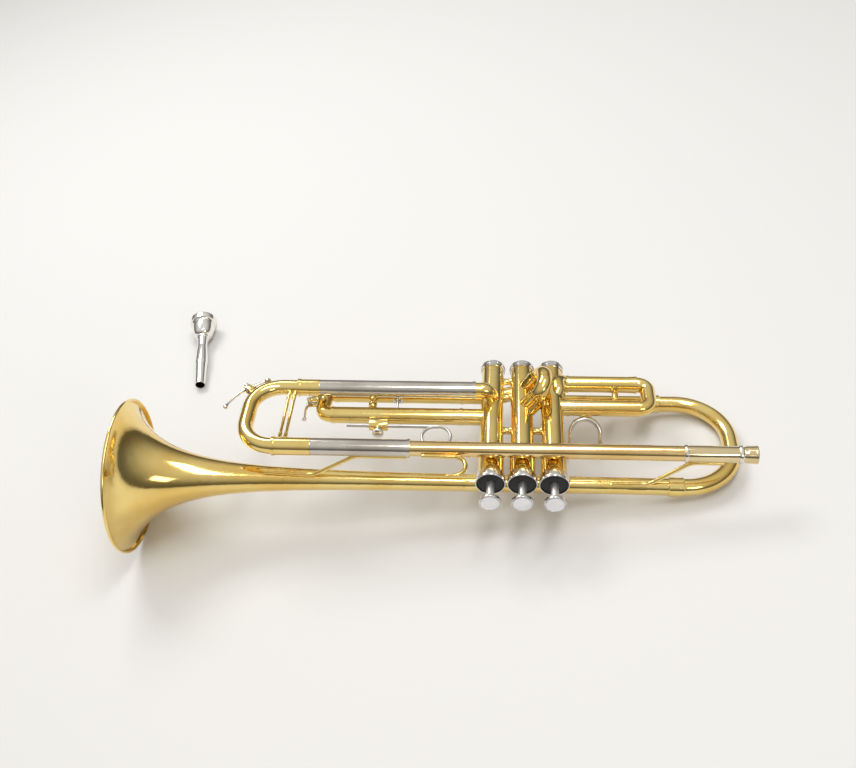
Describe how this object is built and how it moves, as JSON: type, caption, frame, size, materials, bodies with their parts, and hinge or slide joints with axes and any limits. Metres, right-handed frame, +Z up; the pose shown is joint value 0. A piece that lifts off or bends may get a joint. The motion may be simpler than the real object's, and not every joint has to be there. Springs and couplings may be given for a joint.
{
  "type": "trumpet",
  "caption": "Piston-valve trumpet lying on its side: flared bell, leadpipe, pull-out tuning slides, sprung finger buttons, water keys and a loose silver mouthpiece.",
  "frame": {"origin": "centre of the mouth of the mouthpiece receiver, where the mouthpiece goes in", "axes": "+Z up from the level that the instrument lies on; +X from the bell towards the mouthpiece end, along the floor; +Y along the valves, from the finger buttons to the bottom caps"},
  "size_m": [0.5091, 0.3165, 0.1222],
  "materials": {
    "cork": "cork",
    "felt": "black felt",
    "lacquered_brass": "clear gold lacquer, polished",
    "monel": "lapped monel",
    "nickel": "polished nickel silver",
    "nickel_parts": "nickel plate, polished",
    "pearl": "white mother of pearl",
    "silver": "silver plate"
  },
  "bodies": {
    "horn": {"bell": "lacquered_brass", "bell_bow": "lacquered_brass", "bow_ferrules": "lacquered_brass", "bell_branch": "lacquered_brass", "leadpipe": "lacquered_brass", "mouthpiece_receiver": "nickel", "leadpipe_sleeve": "nickel", "valve_sleeve": "nickel", "inlet_elbow": "lacquered_brass", "slide_stubs": "lacquered_brass", "slide_inner_tubes": "nickel", "second_slide_tubes": "lacquered_brass", "valve_knuckles": "lacquered_brass", "casing_posts": "lacquered_brass", "bell_stays": "lacquered_brass", "valve_casing_1": "lacquered_brass", "valve_casing_2": "lacquered_brass", "valve_casing_3": "lacquered_brass", "top_valve_caps": "nickel_parts", "bottom_valve_caps": "nickel_parts", "cap_felts": "felt", "valve_guides": "monel", "bell_braces": "lacquered_brass", "finger_hook": "lacquered_brass"},
    "tuning_slide": {"tuning_slide_crook": "lacquered_brass", "tuning_slide_legs": "nickel", "tuning_slide_ferrules": "lacquered_brass", "tuning_slide_brace": "lacquered_brass", "main_key_saddle": "lacquered_brass"},
    "main_key": {"main_water_key": "nickel_parts", "main_key_cork": "cork"},
    "third_slide": {"third_slide_tubes": "lacquered_brass", "third_slide_crook": "lacquered_brass", "third_slide_post": "lacquered_brass", "third_slide_stay": "nickel_parts", "ring_clamp": "lacquered_brass", "third_key_saddle": "lacquered_brass"},
    "third_key": {"third_water_key": "nickel_parts", "third_key_cork": "cork"},
    "ring_rod": {"finger_ring": "nickel_parts"},
    "ring_screw": {"clamp_screw": "nickel_parts"},
    "first_slide": {"first_slide_tubes": "lacquered_brass", "first_slide_crook": "lacquered_brass", "first_slide_post": "lacquered_brass", "thumb_saddle": "nickel_parts"},
    "second_slide": {"second_slide_crook": "lacquered_brass", "second_slide_legs": "nickel"},
    "piston_set_1": {"piston_1": "monel", "finger_button_1": "nickel_parts", "button_pearl_1": "pearl"},
    "piston_set_2": {"piston_2": "monel", "finger_button_2": "nickel_parts", "button_pearl_2": "pearl"},
    "piston_set_3": {"piston_3": "monel", "finger_button_3": "nickel_parts", "button_pearl_3": "pearl"},
    "loose_mouthpiece": {"mouthpiece": "silver"}
  },
  "joints": [
    {"name": "tuning_slide_pull", "type": "slide", "parent": "horn", "child": "tuning_slide", "axis": [-0.9935, 0, 0.1143], "range_m": [0, 0.055]},
    {"name": "third_slide_pull", "type": "slide", "parent": "horn", "child": "third_slide", "axis": [-0.9935, 0, 0.1143], "range_m": [0, 0.08]},
    {"name": "first_slide_pull", "type": "slide", "parent": "horn", "child": "first_slide", "axis": [0.9935, 0, -0.1143], "range_m": [0, 0.032]},
    {"name": "second_slide_pull", "type": "slide", "parent": "horn", "child": "second_slide", "axis": [0.6634, 0, 0.7483], "range_m": [0, 0.008]},
    {"name": "piston_1_press", "type": "slide", "parent": "horn", "child": "piston_set_1", "axis": [0, 1, 0], "range_m": [0, 0.0162], "stiffness_N_per_m": 60, "springref_m": -0.05},
    {"name": "piston_2_press", "type": "slide", "parent": "horn", "child": "piston_set_2", "axis": [0, 1, 0], "range_m": [0, 0.0162], "stiffness_N_per_m": 60, "springref_m": -0.05},
    {"name": "piston_3_press", "type": "slide", "parent": "horn", "child": "piston_set_3", "axis": [0, 1, 0], "range_m": [0, 0.0162], "stiffness_N_per_m": 60, "springref_m": -0.05},
    {"name": "main_key_lever", "type": "hinge", "parent": "tuning_slide", "child": "main_key", "pos_m": [-0.39319, 0.06372, 0.04522], "axis": [0.1143, 0, 0.9935], "range_deg": [0, 16], "stiffness_Nm_per_rad": 0.02, "springref_deg": -28.65},
    {"name": "third_key_lever", "type": "hinge", "parent": "third_slide", "child": "third_key", "pos_m": [-0.34614, 0.0652, 0.0235], "axis": [0.1143, 0, 0.9935], "range_deg": [0, 14], "stiffness_Nm_per_rad": 0.02, "springref_deg": -28.65},
    {"name": "finger_ring_set", "type": "slide", "parent": "third_slide", "child": "ring_rod", "axis": [0.9935, 0, -0.1143], "range_m": [-0.022, 0.014]},
    {"name": "clamp_screw_turn", "type": "hinge", "parent": "third_slide", "child": "ring_screw", "pos_m": [-0.28713, 0.0398, 0.01671], "axis": [0, -1, 0], "range_deg": [0, 360]},
    {"name": "mouthpiece_lift", "type": "slide", "parent": "horn", "child": "loose_mouthpiece", "axis": [0, 0, 1], "range_m": [0, 0.15]}
  ]
}
